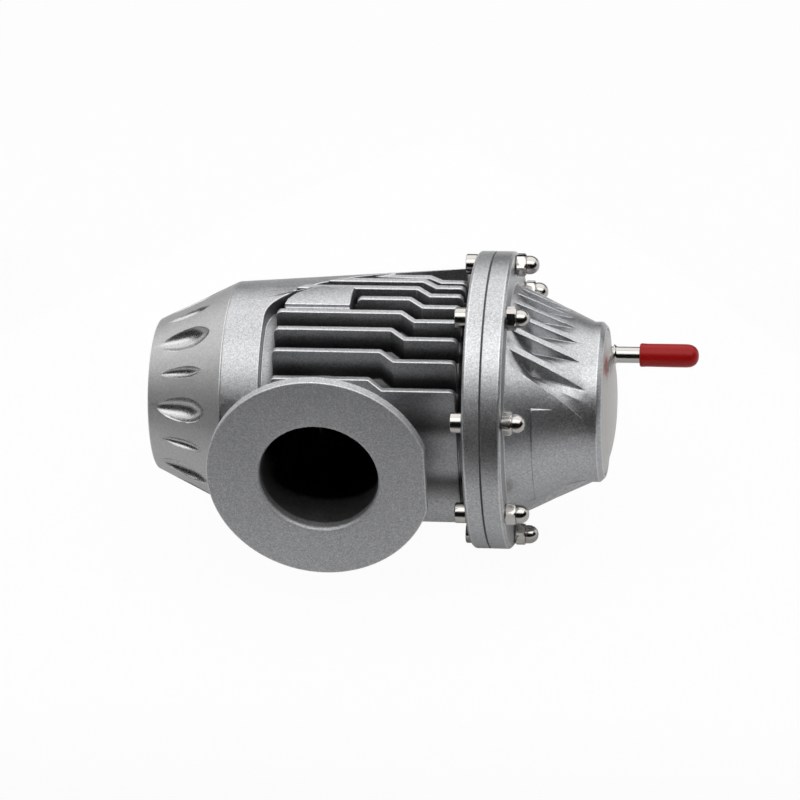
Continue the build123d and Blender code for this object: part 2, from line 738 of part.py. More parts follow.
with BuildPart() as main_valve_seal:
    revolve(
        half_section(
            (SEAT_LIP_X, SEAT_BORE_R - SEAT_LIP_WIDTH),
            (SEAT_LIP_X, MAIN_VALVE_R - SEAT_LIP_WIDTH),
            (MAIN_VALVE_X, MAIN_VALVE_R - SEAT_LIP_WIDTH),
            (MAIN_VALVE_X, SEAT_BORE_R - SEAT_LIP_WIDTH),
        ),
        axis=MAIN_AXIS,
    )
main_valve_seal.part.label = "main_valve_seal"
export_step(main_valve_seal.part, "parts/main_valve_seal.step")

# Pilot valve: a small disc and rubber washer, held against the stem's shoulder
with BuildPart() as pilot_valve:
    with BuildSketch(cross_plane(STEM_SHOULDER_X)):
        Circle(PILOT_DISC_R)
        Circle(STEM_THREAD_R + FIT_CLEARANCE, mode=Mode.SUBTRACT)
    extrude(amount=PILOT_DISC_T)
pilot_valve.part.label = "pilot_valve"
export_step(pilot_valve.part, "parts/pilot_valve.step")

with BuildPart() as pilot_seal:
    with BuildSketch(cross_plane(PILOT_DISC_X)):
        Circle(PILOT_DISC_R)
        Circle(STEM_THREAD_R + FIT_CLEARANCE, mode=Mode.SUBTRACT)
    extrude(amount=PILOT_SEAL_T)
pilot_seal.part.label = "pilot_seal"
export_step(pilot_seal.part, "parts/pilot_seal.step")

with BuildPart() as lift_collar:
    with BuildSketch(cross_plane(COLLAR_END_X)):
        Circle(COLLAR_R)
        Circle(STEM_THREAD_R + FIT_CLEARANCE, mode=Mode.SUBTRACT)
    extrude(amount=COLLAR_T)
lift_collar.part.label = "lift_collar"
export_step(lift_collar.part, "parts/lift_collar.step")

with BuildPart() as valve_stem:
    revolve(
        half_section(
            (COLLAR_X - STEM_TAIL, 0),
            (COLLAR_X - STEM_TAIL, STEM_THREAD_R),
            (STEM_SHOULDER_X, STEM_THREAD_R),
            (STEM_SHOULDER_X, STEM_R),
            (LOWER_PLATE_X, STEM_R),
            (LOWER_PLATE_X, STEM_THREAD_R),
            (STEM_END_X, STEM_THREAD_R),
            (STEM_END_X, 0),
        ),
        axis=MAIN_AXIS,
    )
valve_stem.part.label = "valve_stem"
export_step(valve_stem.part, "parts/valve_stem.step")

# Guide bush in the partition, with the rubber ring that seals the stem
with BuildPart() as guide_bush:
    seal_x = BUSH_X + (BUSH_LENGTH - STEM_SEAL_T) / 2
    seal_r = STEM_R + STEM_SEAL_DEPTH
    revolve(
        half_section(
            (BUSH_X, STEM_R + RUNNING_CLEARANCE),
            (BUSH_X, BUSH_R),
            (BUSH_X + BUSH_LENGTH, BUSH_R),
            (BUSH_X + BUSH_LENGTH, STEM_R + RUNNING_CLEARANCE),
            (seal_x + STEM_SEAL_T, STEM_R + RUNNING_CLEARANCE),
            (seal_x + STEM_SEAL_T, seal_r),
            (seal_x, seal_r),
            (seal_x, STEM_R + RUNNING_CLEARANCE),
        ),
        axis=MAIN_AXIS,
    )
guide_bush.part.label = "guide_bush"
export_step(guide_bush.part, "parts/guide_bush.step")

with BuildPart() as stem_seal:
    with BuildSketch(cross_plane(seal_x + STEM_SEAL_T - FIT_CLEARANCE)):
        Circle(seal_r - FIT_CLEARANCE)
        Circle(STEM_R + RUNNING_CLEARANCE, mode=Mode.SUBTRACT)
    extrude(amount=STEM_SEAL_T - 2 * FIT_CLEARANCE)
stem_seal.part.label = "stem_seal"
export_step(stem_seal.part, "parts/stem_seal.step")

# Diaphragm: rim between the flanges, a half-round roll, and a sunken centre between the plates
with BuildPart() as diaphragm:
    fold_r = ROLL_CENTRE_R - ROLL_R
    centre_r = LOWER_PLATE_R + DIAPHRAGM_T
    with BuildSketch(PROFILE):
        with Locations((PARTING_X, ROLL_CENTRE_R)):
            Circle(ROLL_R + DIAPHRAGM_T)
            Circle(ROLL_R, mode=Mode.SUBTRACT)
            Rectangle(
                MAIN_FLANGE_R,
                MAIN_FLANGE_R,
                align=(Align.MAX, Align.CENTER),
                mode=Mode.SUBTRACT,
            )
        with BuildLine():
            Polyline(
                (PARTING_X, ROLL_CENTRE_R + ROLL_R),
                (PARTING_X, MAIN_FLANGE_R - FINE_EDGE),
                (DIAPHRAGM_X, MAIN_FLANGE_R - FINE_EDGE),
                (DIAPHRAGM_X, ROLL_CENTRE_R + ROLL_R),
                close=True,
            )
        make_face()
        with BuildLine():
            Polyline(
                (PARTING_X, fold_r),
                (PARTING_X, fold_r - DIAPHRAGM_T),
                (UPPER_PLATE_X, centre_r),
                (UPPER_PLATE_X, STEM_THREAD_R + FIT_CLEARANCE),
                (LOWER_PLATE_END_X, STEM_THREAD_R + FIT_CLEARANCE),
                (LOWER_PLATE_END_X, centre_r + DIAPHRAGM_T),
                close=True,
            )
        make_face()
    revolve(axis=MAIN_AXIS)
    add(bolt_holes(DIAPHRAGM_X, BOLT_R + BOLT_CLEARANCE, DIAPHRAGM_T), mode=Mode.SUBTRACT)
diaphragm.part.label = "diaphragm"
export_step(diaphragm.part, "parts/diaphragm.step")

with BuildPart() as lower_plate:
    revolve(
        half_section(
            (LOWER_PLATE_X, STEM_THREAD_R + FIT_CLEARANCE),
            (LOWER_PLATE_X, LOWER_PLATE_R - PLATE_T),
            (LOWER_PLATE_X - PLATE_LIP, LOWER_PLATE_R - PLATE_T),
            (LOWER_PLATE_X - PLATE_LIP, LOWER_PLATE_R),
            (LOWER_PLATE_END_X, LOWER_PLATE_R),
            (LOWER_PLATE_END_X, STEM_THREAD_R + FIT_CLEARANCE),
        ),
        axis=MAIN_AXIS,
    )
lower_plate.part.label = "lower_plate"
export_step(lower_plate.part, "parts/lower_plate.step")

with BuildPart() as upper_plate:
    revolve(
        half_section(
            (UPPER_PLATE_X, STEM_THREAD_R + FIT_CLEARANCE),
            (UPPER_PLATE_X, UPPER_PLATE_R),
            (UPPER_PLATE_END_X + PLATE_LIP, UPPER_PLATE_R),
            (UPPER_PLATE_END_X + PLATE_LIP, UPPER_PLATE_R - PLATE_T),
            (UPPER_PLATE_END_X, UPPER_PLATE_R - PLATE_T),
            (UPPER_PLATE_END_X, STEM_THREAD_R + FIT_CLEARANCE),
        ),
        axis=MAIN_AXIS,
    )
upper_plate.part.label = "upper_plate"
export_step(upper_plate.part, "parts/upper_plate.step")

with BuildPart() as stem_washer:
    with BuildSketch(cross_plane(WASHER_END_X)):
        Circle(WASHER_R)
        Circle(STEM_THREAD_R + FIT_CLEARANCE, mode=Mode.SUBTRACT)
    extrude(amount=WASHER_T)
stem_washer.part.label = "stem_washer"
export_step(stem_washer.part, "parts/stem_washer.step")

with BuildPart() as stem_nut:
    with BuildSketch(cross_plane(STEM_NUT_END_X)):
        RegularPolygon(STEM_NUT_FLATS / 2, 6, major_radius=False)
        Circle(STEM_THREAD_R + THREAD_CLEARANCE, mode=Mode.SUBTRACT)
    extrude(amount=STEM_NUT_T)
stem_nut.part.label = "stem_nut"
export_step(stem_nut.part, "parts/stem_nut.step")

# Springs: one closes the main valve, the other presses the diaphragm pack and pilot valve shut
main_spring = coil(MAIN_VALVE_END_X, PARTITION_X, MAIN_SPRING_R, MAIN_SPRING_WIRE_R, MAIN_SPRING_TURNS)
main_spring.label = "main_spring"
export_step(main_spring, "parts/main_spring.step")

pilot_spring = coil(
    UPPER_PLATE_END_X,
    COVER_INNER_END_X,
    PILOT_SPRING_R,
    PILOT_SPRING_WIRE_R,
    PILOT_SPRING_TURNS,
)
pilot_spring.label = "pilot_spring"
export_step(pilot_spring, "parts/pilot_spring.step")

# Diaphragm cover: flange, swirled cone, rounded rim and grooved end face
with BuildPart() as diaphragm_cover:
    revolve(
        half_section(
            (DIAPHRAGM_X, COVER_MOUTH_R),
            (DIAPHRAGM_X, MAIN_FLANGE_R),
            (COVER_FLANGE_END_X - EDGE_ROUND, MAIN_FLANGE_R),
            (COVER_FLANGE_END_X, MAIN_FLANGE_R - EDGE_ROUND),
            (COVER_FLANGE_END_X, COVER_CONE_R),
            (COVER_SHOULDER_X, COVER_SHOULDER_R),
            (COVER_SHOULDER_X + COVER_RIM_LENGTH, COVER_SHOULDER_R),
            (COVER_END_X, COVER_SHOULDER_R - COVER_RIM_ROUND),
            (COVER_END_X, END_GROOVE_R),
            (COVER_END_X - END_GROOVE_DEPTH, END_GROOVE_R),
            (COVER_END_X - END_GROOVE_DEPTH, END_GROOVE_R - END_GROOVE_WIDTH),
            (COVER_END_X, END_GROOVE_R - END_GROOVE_WIDTH),
            (COVER_END_X, BADGE_R + FIT_CLEARANCE),
            (BADGE_SEAT_X, BADGE_R + FIT_CLEARANCE),
            (BADGE_SEAT_X, 0),
            (COVER_INNER_END_X, 0),
            (COVER_INNER_END_X, COVER_SHOULDER_R - COVER_END_WALL),
            (COVER_MOUTH_END_X + COVER_ROOM_LENGTH, COVER_ROOM_R - COVER_ROOM_TAPER),
            (COVER_MOUTH_END_X, COVER_ROOM_R),
            (COVER_MOUTH_END_X, COVER_MOUTH_R - EDGE_ROUND),
        ),
        axis=MAIN_AXIS,
    )
    wedge = half_section(
        (PANEL_X, cover_radius(PANEL_X) - PANEL_RISE),
        (PANEL_X, cover_radius(PANEL_X) + PANEL_RISE),
        (PANEL_X + PANEL_LENGTH, cover_radius(PANEL_X + PANEL_LENGTH)),
        (PANEL_X + PANEL_LENGTH, cover_radius(PANEL_X + PANEL_LENGTH) - PANEL_RISE),
    )
    revolve(
        wedge.rotate(MAIN_AXIS, 180 - PANEL_TOP_ANGLE),
        axis=MAIN_AXIS,
        revolution_arc=PANEL_TOP_ANGLE - PANEL_BOTTOM_ANGLE,
    )
    for number in range(1, GILL_COUNT + 1):
        cutter = gill(number)
        add(cutter, mode=Mode.SUBTRACT)
        add(cutter.mirror(Plane.XY), mode=Mode.SUBTRACT)
    add(bolt_holes(COVER_FLANGE_END_X, BOLT_R + BOLT_CLEARANCE, COVER_FLANGE_T), mode=Mode.SUBTRACT)
    with BuildSketch(nipple_plane(COVER_INNER_END_X)):
        Circle(NIPPLE_R + FIT_CLEARANCE)
    extrude(amount=COVER_END_T, mode=Mode.SUBTRACT)
diaphragm_cover.part.label = "diaphragm_cover"
export_step(diaphragm_cover.part, "parts/diaphragm_cover.step")

with BuildPart() as end_badge:
    with BuildSketch(PROFILE):
        with BuildLine():
            base = Polyline(
                (BADGE_END_X, 0),
                (BADGE_SEAT_X, 0),
                (BADGE_SEAT_X, BADGE_R),
                (BADGE_RIM_X, BADGE_R),
            )
            Spline(
                base @ 1,
                (BADGE_END_X - BADGE_EDGE_DROP, BADGE_EDGE_R),
                base @ 0,
                tangents=[(1, 0), (0, -1)],
            )
        make_face()
    revolve(axis=MAIN_AXIS)
    with BuildSketch(nipple_plane(BADGE_SEAT_X)):
        Circle(NIPPLE_R + FIT_CLEARANCE)
    extrude(amount=BADGE_END_X - BADGE_SEAT_X, mode=Mode.SUBTRACT)
end_badge.part.label = "end_badge"
export_step(end_badge.part, "parts/end_badge.step")

# Vacuum nipple and the soft cap pushed over its end
with BuildPart() as vacuum_nipple:
    with BuildSketch(nipple_plane(NIPPLE_X)):
        Circle(NIPPLE_R)
        Circle(NIPPLE_BORE_R, mode=Mode.SUBTRACT)
    extrude(amount=NIPPLE_LENGTH)
vacuum_nipple.part.label = "vacuum_nipple"
export_step(vacuum_nipple.part, "parts/vacuum_nipple.step")

with BuildPart() as dust_cap:
    cap_axis = Axis(around(NIPPLE_CIRCLE_R, NIPPLE_ANGLE), (1, 0, 0))
    with BuildSketch(Plane(origin=cap_axis.position, x_dir=(1, 0, 0), z_dir=(0, 0, 1))):
        with BuildLine():
            wall = Polyline(
                (CAP_END_X, 0),
                (NIPPLE_END_X + FIT_CLEARANCE, 0),
                (NIPPLE_END_X + FIT_CLEARANCE, NIPPLE_R + FIT_CLEARANCE),
                (CAP_X, NIPPLE_R + FIT_CLEARANCE),
                (CAP_X, CAP_R - FINE_EDGE),
                (CAP_X + FINE_EDGE, CAP_R),
                (CAP_END_X - CAP_TIP, CAP_R),
            )
            Spline(wall @ 1, wall @ 0, tangents=[(1, 0), (0, -1)])
        make_face()
    revolve(axis=cap_axis)
dust_cap.part.label = "dust_cap"
export_step(dust_cap.part, "parts/dust_cap.step")

# Flange screws with hex sockets, and their dome nuts
with BuildPart() as flange_screws:
    with BuildSketch(cross_plane(BODY_FLANGE_X)):
        with PolarLocations(BOLT_CIRCLE_R, BOLT_COUNT, start_angle=BOLT_FIRST_ANGLE):
            Circle(BOLT_HEAD_R)
    extrude(amount=BOLT_HEAD_T)
    with BuildSketch(cross_plane(BODY_FLANGE_X + BOLT_KEY_DEPTH - BOLT_HEAD_T)):
        with PolarLocations(BOLT_CIRCLE_R, BOLT_COUNT, start_angle=BOLT_FIRST_ANGLE):
            RegularPolygon(BOLT_KEY_FLATS / 2, 6, major_radius=False)
    extrude(amount=BOLT_KEY_DEPTH, mode=Mode.SUBTRACT)
    screw_length = COVER_FLANGE_END_X + NUT_THREAD_DEPTH - BOLT_TAIL_ROOM - BODY_FLANGE_X
    with BuildSketch(cross_plane(BODY_FLANGE_X)):
        with PolarLocations(BOLT_CIRCLE_R, BOLT_COUNT, start_angle=BOLT_FIRST_ANGLE):
            Circle(BOLT_R)
    extrude(amount=-screw_length)
flange_screws.part.label = "flange_screws"
export_step(flange_screws.part, "parts/flange_screws.step")

with BuildPart() as nut:
    nut_axis = Axis(around(BOLT_CIRCLE_R, BOLT_FIRST_ANGLE), (1, 0, 0))
    nut_seat = Plane(origin=around(BOLT_CIRCLE_R, BOLT_FIRST_ANGLE, COVER_FLANGE_END_X), z_dir=(1, 0, 0))
    with BuildSketch(nut_seat):
        RegularPolygon(NUT_FLATS / 2, 6, major_radius=False)
    extrude(amount=NUT_HEX_T)
    with BuildSketch(Plane(origin=nut_axis.position, x_dir=(1, 0, 0), z_dir=(0, 0, 1))):
        with BuildLine():
            barrel = Polyline(
                (COVER_FLANGE_END_X + NUT_T, 0),
                (COVER_FLANGE_END_X + NUT_THREAD_DEPTH, 0),
                (COVER_FLANGE_END_X + NUT_THREAD_DEPTH, BOLT_R + THREAD_CLEARANCE),
                (COVER_FLANGE_END_X, BOLT_R + THREAD_CLEARANCE),
                (COVER_FLANGE_END_X, NUT_DOME_R),
                (COVER_FLANGE_END_X + NUT_T - NUT_DOME_R, NUT_DOME_R),
            )
            TangentArc(barrel @ 1, barrel @ 0, tangent=(1, 0))
        make_face()
    revolve(axis=nut_axis)
    with BuildSketch(nut_seat):
        Circle(BOLT_R + THREAD_CLEARANCE)
    extrude(amount=NUT_HEX_T, mode=Mode.SUBTRACT)

with BuildPart() as dome_nuts:
    for number in range(BOLT_COUNT):
        add(nut.part.rotate(MAIN_AXIS, number * 360 / BOLT_COUNT))
dome_nuts.part.label = "dome_nuts"
export_step(dome_nuts.part, "parts/dome_nuts.step")
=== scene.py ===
import json
from math import atan2, cos, hypot, pi, radians, sin

import bmesh
import bpy
from bpy.props import FloatProperty, FloatVectorProperty, PointerProperty
from mathutils import Euler, Matrix, Vector


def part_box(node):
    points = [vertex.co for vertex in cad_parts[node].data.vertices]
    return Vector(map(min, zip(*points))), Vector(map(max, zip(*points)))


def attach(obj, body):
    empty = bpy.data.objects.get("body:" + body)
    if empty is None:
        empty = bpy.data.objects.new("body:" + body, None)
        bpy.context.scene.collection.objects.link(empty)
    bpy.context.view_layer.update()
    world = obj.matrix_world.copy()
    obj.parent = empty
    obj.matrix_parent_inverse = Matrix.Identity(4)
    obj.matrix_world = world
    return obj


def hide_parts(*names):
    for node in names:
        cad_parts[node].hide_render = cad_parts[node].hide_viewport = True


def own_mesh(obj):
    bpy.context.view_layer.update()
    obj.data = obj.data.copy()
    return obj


bl_info = {
    "name": "Blow Off Valve Look",
    "version": (1, 0, 0),
    "blender": (4, 5, 0),
    "location": "View3D > Sidebar > Valve",
    "description": "Dresses the packed valve frame with detailed pieces, paints and a studio",
    "category": "Object",
}

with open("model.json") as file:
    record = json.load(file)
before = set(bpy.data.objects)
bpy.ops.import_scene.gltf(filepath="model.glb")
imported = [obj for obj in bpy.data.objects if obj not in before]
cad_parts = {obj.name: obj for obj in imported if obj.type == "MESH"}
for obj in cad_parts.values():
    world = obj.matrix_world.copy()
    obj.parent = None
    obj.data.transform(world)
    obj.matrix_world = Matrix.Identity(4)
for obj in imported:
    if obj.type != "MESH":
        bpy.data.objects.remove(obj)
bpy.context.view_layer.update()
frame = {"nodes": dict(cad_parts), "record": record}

MM = 0.001

# Layout of the valve, in metres and degrees
AXIS_Y = 0.0408
BOLT_COUNT = 8
BOLT_CIRCLE_R = 36.7 * MM
BOLT_FIRST_ANGLE = 22.5
SCREW_HEAD = 3.0
NUT_TURNS = (24, 35, 16, 13, 33, 8, 50, 0)
NIPPLE_CIRCLE_R = 13.1 * MM
NIPPLE_ANGLE = 135.0
NIPPLE_SINK = 1.2

# Places where the castings' paint changes, and where shade and a highlight are painted on, in
# metres
FIN_ROOT_R = 0.0285
FIN_TOP_R = 0.0323
POCKET_END = -0.0165
POCKET_DEEP = -0.0135
POCKET_LEVELS = (0.004, 0.009)
BORE_R = 0.0163
BORE_MOUTH_Y = 0.0012
BORE_BACK_Y = 0.036
INLET_FACE_Y = 0.0032
INLET_REACH = 0.0345
BARREL_END = 0.0375
TOP_LEVELS = (0.027, 0.034)
CONE_SLOPE = 0.486
CONE_R = 0.0441
SCALLOP_DEPTHS = (0.00015, 0.0006)

# Paints
NEARLY_BLACK = (0.02, 0.02, 0.02)
FLAKE_SCALE = 3900.0
GRAIN_SCALE = 3200.0
# Share by which the edges' paints are lighter: partly wear, partly a painted highlight on the
# roundings.
EDGE_WEAR_AND_HIGHLIGHT = 1.28
MIX_FACTOR, MIX_FIRST, MIX_SECOND, MIX_COLOUR = 0, 6, 7, 2

# Badge, in metres and radians
RINGS_R = 0.0142
RINGS_SCALE = 4200.0
ARC_RADII = (0.0154, 0.0164)
ARC_TURNS = (1.02, 1.42)
BADGE_STEPS = 96
CROWN_STEPS = 23

# Meshes
WELD = 0.000002
FLAT_ANGLE = radians(0.6)
FLAT_GAP = 0.00001
SMOOTH_ANGLE = radians(32.0)
SHARP_ANGLE = radians(35.0)
STRIP_ANGLE = radians(9.0)
STRIP_WIDTH = 0.00035
SPIN_STEPS = 64
HEX_STEPS = 72
ROUNDING_STEPS = 3
EDGE_PAINT = 1

# Studio
CAMERA_PLACE = (0.14677, -0.79686, 0.52684)
CAMERA_RIGHT = Vector((0.991268, 0.120877, -0.052688))
CAMERA_UP = Vector((-0.019661, 0.530596, 0.847397))
WHITE = (1.0, 1.0, 1.0, 1.0)
FLOOR_HALF = 4.0
PAPER_GREY = (0.92, 0.92, 0.92)
PAPER_GLOW = 0.95
CARD_LIFT = 0.0004
CARD_GREY = (0.8, 0.8, 0.8)
CARD_GLOW = (0.17, 0.17, 0.17)
CARD_FADE = (-0.14, -0.03)
UPRIGHT = (radians(90.0), 0.0, 0.0)
SIDEWAYS = (0.0, radians(90.0), 0.0)

body_flange_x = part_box("flange_screws")[0][0] + SCREW_HEAD * MM
cover_flange_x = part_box("dome_nuts")[0][0]
nipple_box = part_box("vacuum_nipple")
cap_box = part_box("dust_cap")
badge_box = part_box("end_badge")


def settings():
    return bpy.context.scene.valve_look


def scaled(colour, share):
    """A colour made darker or lighter by a share."""
    return tuple(min(1.0, channel * share) for channel in colour)


class Nodes:
    """A node tree, and the one method that adds a node to it."""

    def __init__(self, tree):
        self.tree = tree

    def put(self, socket, value):
        """Link a socket to a number or another socket, or set it to a constant."""
        if isinstance(value, Number):
            value = value.socket
        if isinstance(value, bpy.types.NodeSocket):
            self.tree.links.new(value, socket)
        else:
            socket.default_value = value

    def node(self, kind, options=None, inputs=None, output=0):
        """Add a node with its options and inputs, and give the output that is wanted."""
        node = self.tree.nodes.new(kind)
        for name, value in (options or {}).items():
            setattr(node, name, value)
        for key, value in (inputs or {}).items():
            self.put(node.inputs[key], value)
        return node.outputs[output] if node.outputs else None

    def maths(self, operation, *values):
        """Math node on the values, in their order."""
        inputs = dict(enumerate(values))
        return Number(self, self.node("ShaderNodeMath", {"operation": operation}, inputs))

    def seen(self):
        """1 for rays from the camera, from a reflection or through glass."""
        path = self.node("ShaderNodeLightPath").node.outputs
        seen = self.maths("MAXIMUM", path["Is Camera Ray"], path["Is Glossy Ray"])
        return seen.math("MAXIMUM", path["Is Transmission Ray"])


class Number:
    """A number in a node tree; Python arithmetic on it adds Math nodes."""

    def __init__(self, nodes, socket):
        self.nodes = nodes
        self.socket = socket

    def math(self, operation, *others):
        return self.nodes.maths(operation, self, *others)

    def __add__(self, other):
        return self.math("ADD", other)

    __radd__ = __add__

    def __sub__(self, other):
        return self.math("SUBTRACT", other)

    def __rsub__(self, other):
        return self.nodes.maths("SUBTRACT", other, self)

    def __mul__(self, other):
        return self.math("MULTIPLY", other)

    __rmul__ = __mul__

    def above(self, level):
        return self.math("GREATER_THAN", level)

    def below(self, level):
        return self.math("LESS_THAN", level)

    def within(self, low, high):
        return self.above(low) * self.below(high)

    def length_with(self, other):
        """Long side of the right angle that the two numbers span."""
        return (self * self + other * other).math("SQRT")

    def band(self, low, high):
        """0 up to low, 1 from high on, smooth between; low may be the larger."""
        options = {"interpolation_type": "SMOOTHSTEP"}
        inputs = {"Value": self, "From Min": low, "From Max": high}
        return Number(self.nodes, self.nodes.node("ShaderNodeMapRange", options, inputs))


class Paint(Nodes):
    """One material: its Principled shader, and patterns on its Object coordinates."""

    def __init__(self, name, base, metallic, roughness, constants=None):
        self.material = bpy.data.materials.new(name)
        self.material.use_nodes = True
        self.material.diffuse_color = (*base, 1.0)
        super().__init__(self.material.node_tree)
        self.shader = self.tree.nodes["Principled BSDF"]
        self.set("Base Color", (*base, 1.0))
        self.set("Metallic", metallic)
        self.set("Roughness", roughness)
        for socket, value in (constants or {}).items():
            self.set(socket, value)
        self.place = self.node("ShaderNodeTexCoord", output="Object")

    def set(self, socket, value):
        self.put(self.shader.inputs[socket], value)

    def axes(self):
        """Object coordinates as three numbers."""
        socket = self.node("ShaderNodeSeparateXYZ", inputs={0: self.place})
        return [Number(self, part) for part in socket.node.outputs]

    def noise(self, scale, detail=2.0, roughness=0.5, distortion=0.0):
        inputs = {
            "Vector": self.place,
            "Scale": scale,
            "Detail": detail,
            "Roughness": roughness,
            "Distortion": distortion,
        }
        return Number(self, self.node("ShaderNodeTexNoise", inputs=inputs))

    def cells(self, scale):
        """A random number per small cell."""
        inputs = {"Vector": self.place, "Scale": scale}
        colour = self.node("ShaderNodeTexVoronoi", {"feature": "F1"}, inputs, "Color")
        return Number(self, self.node("ShaderNodeSeparateColor", inputs={0: colour}))

    def tint(self, factor, first, second):
        """A colour between two, by a factor from 0 to 1."""
        first, second = ((*c, 1.0) if isinstance(c, tuple) else c for c in (first, second))
        options = {"data_type": "RGBA", "clamp_factor": True}
        inputs = {MIX_FACTOR: factor, MIX_FIRST: first, MIX_SECOND: second}
        return self.node("ShaderNodeMix", options, inputs, MIX_COLOUR)

    def bump(self, height, distance, strength=1.0, edge=0.0):
        """Relief on the surface; edge softens the piece's sharp corners by that radius."""
        inputs = {"Height": height, "Distance": distance, "Strength": strength}
        if edge:
            inputs["Normal"] = self.node("ShaderNodeBevel", {"samples": 4}, {"Radius": edge})
        self.set("Normal", self.node("ShaderNodeBump", inputs=inputs))


def body_tone_and_painted_shade(paint):
    """How dark and how dull the body's paint is from place to place.

    It has painted shade down between the fins and in the inlet bore, and a painted highlight on
    the barrel's top. The inlet flange's face is lighter, and the face is duller too."""
    x, y, z = paint.axes()
    pocket = x.band(POCKET_END, POCKET_DEEP) * z.math("ABSOLUTE").band(*POCKET_LEVELS)
    fins = (y - AXIS_Y).length_with(z).band(FIN_TOP_R, FIN_ROOT_R) * pocket
    bore = x.length_with(z).below(BORE_R) * y.within(BORE_MOUTH_Y, BORE_BACK_Y)
    face = y.below(INLET_FACE_Y) * x.below(INLET_REACH)
    barrel = x.below(BARREL_END)
    top = barrel * z.band(*TOP_LEVELS)
    # fins and bore darken the paint as painted shade; top lightens it as a painted highlight;
    # barrel darkens it and face lightens it.
    shade = 0.08 + barrel * 0.09 + fins * 0.7 + bore * 0.36 - face * 0.2 - top * 0.09
    return shade, face * 0.18


def cone_painted_shade(paint):
    """The cone's paint has painted shade down in the scallops, and is smoother there."""
    x, y, z = paint.axes()
    surface = x * CONE_SLOPE + CONE_R
    scallop = (surface - (y - AXIS_Y).length_with(z)).band(*SCALLOP_DEPTHS)
    # The first share is painted shade in the scallops; the second makes them smoother.
    return scallop * 0.1, scallop * -0.22


def flake_paint(name, base, spread, metallic, roughness, edge, sparkle=1.0, tones_and_painted_shade=None):
    """Silver paint with fine flakes over a slightly uneven casting.

    spread is how far the flakes differ in brightness, and the last argument says where the paint
    is darker or lighter, with painted shade and highlights among it, and where it is dull."""
    paint = Paint(name, base, metallic, roughness)
    flakes = paint.cells(FLAKE_SCALE)
    grain = paint.noise(GRAIN_SCALE, detail=1.0)
    cloud = paint.noise(70.0, detail=3.0)
    glint = flakes.band(0.86, 0.98) * sparkle
    level = (flakes - 0.5) * 0.9 + (grain - 0.5) * 0.7 + (cloud - 0.5) * 0.3 + glint * 0.3 + 0.5
    colour = paint.tint(level, scaled(base, 1 - spread), scaled(base, 1 + spread))
    gloss = roughness + (flakes - 0.5) * 0.1 - glint * 0.06 + (cloud - 0.5) * 0.05
    if tones_and_painted_shade:
        shade, dull = tones_and_painted_shade(paint)
        # The shade darkens the colour towards black, less where it is lowered; in hollows this is
        # painted shade, on the barrel's top a painted highlight.
        colour = paint.tint(shade, colour, NEARLY_BLACK)
        gloss = gloss + dull
    paint.set("Base Color", colour)
    paint.set("Roughness", gloss)
    paint.bump(grain * 0.5 + flakes * 0.3 + cloud * 1.5, 0.00002, 0.6, edge)
    return paint


def turned_metal(name, base, roughness):
    """Bright metal with fine marks from turning and faint handling smudges."""
    paint = Paint(name, base, 1.0, roughness)
    marks = paint.noise(900.0, detail=4.0, roughness=0.8)
    smudge = paint.noise(140.0, detail=3.0, distortion=0.6)
    paint.set("Base Color", paint.tint(smudge, scaled(base, 0.86), base))
    paint.set("Roughness", roughness + (marks - 0.5) * 0.12 + (smudge - 0.5) * 0.1)
    paint.bump(marks + smudge * 0.6, 0.00001, 0.5, 0.00015)
    return paint


def rubber(name, base, roughness):
    """Soft matte rubber with a fine skin and some dust on it."""
    paint = Paint(name, base, 0.0, roughness, {"Specular IOR Level": 0.35})
    skin = paint.noise(1500.0, detail=3.0)
    dust = paint.noise(120.0, detail=4.0)
    dusty = tuple(channel * 1.6 + 0.012 for channel in base)
    paint.set("Base Color", paint.tint(dust, base, dusty))
    paint.set("Roughness", roughness + (dust - 0.5) * 0.2)
    paint.bump(skin, 0.00003, 0.6, 0.0002)
    return paint


def red_vinyl():
    """Dipped soft vinyl with a gloss that breaks up a little."""
    base = tuple(settings().colours.cap)
    paint = Paint("Red vinyl", base, 0.0, 0.34, {"Specular IOR Level": 0.25})
    skin = paint.noise(480.0, detail=3.0)
    wave = paint.noise(110.0, detail=2.0)
    paint.set("Base Color", paint.tint(wave, scaled(base, 0.86), base))
    paint.set("Roughness", 0.34 + (skin - 0.5) * 0.16)
    paint.bump(skin + wave * 2.0, 0.00006, 0.5)
    return paint


def badge_metal():
    """Satin disc with turned rings, a fine grain and one plain red arc."""
    base = tuple(settings().colours.badge)
    paint = Paint("Blank badge", base, 0.85, 0.34)
    _, y, z = paint.axes()
    from_axis = y - AXIS_Y
    radius = from_axis.length_with(z)
    rings = (radius * RINGS_SCALE).math("SINE") * radius.below(RINGS_R)
    grain = paint.noise(1900.0, detail=3.0)
    angle = z.math("ARCTAN2", from_axis * -1.0)
    arc = radius.within(*ARC_RADII) * angle.within(*ARC_TURNS) * 0.7
    plain = paint.tint(grain, scaled(base, 0.78), base)
    paint.set("Base Color", paint.tint(arc, plain, tuple(settings().colours.arc)))
    paint.set("Metallic", 0.85 - arc * 0.7)
    paint.set("Roughness", 0.34 + (grain - 0.5) * 0.2)
    paint.bump(rings * 0.5 + grain * 0.4, 0.00005, 0.9, 0.0003)
    return paint


def black_plastic():
    """Moulded plastic with a fine eroded grain."""
    base = (0.035, 0.035, 0.038)
    paint = Paint("Moulded plastic", base, 0.0, 0.55)
    grain = paint.noise(1100.0, detail=4.0, roughness=0.65)
    paint.set("Base Color", paint.tint(grain, scaled(base, 0.7), scaled(base, 1.5)))
    paint.set("Roughness", 0.5 + grain * 0.16)
    paint.bump(grain, 0.00005, 0.7, 0.0003)
    return paint


# Every finish by its name, once they are mixed
PAINTS = {}


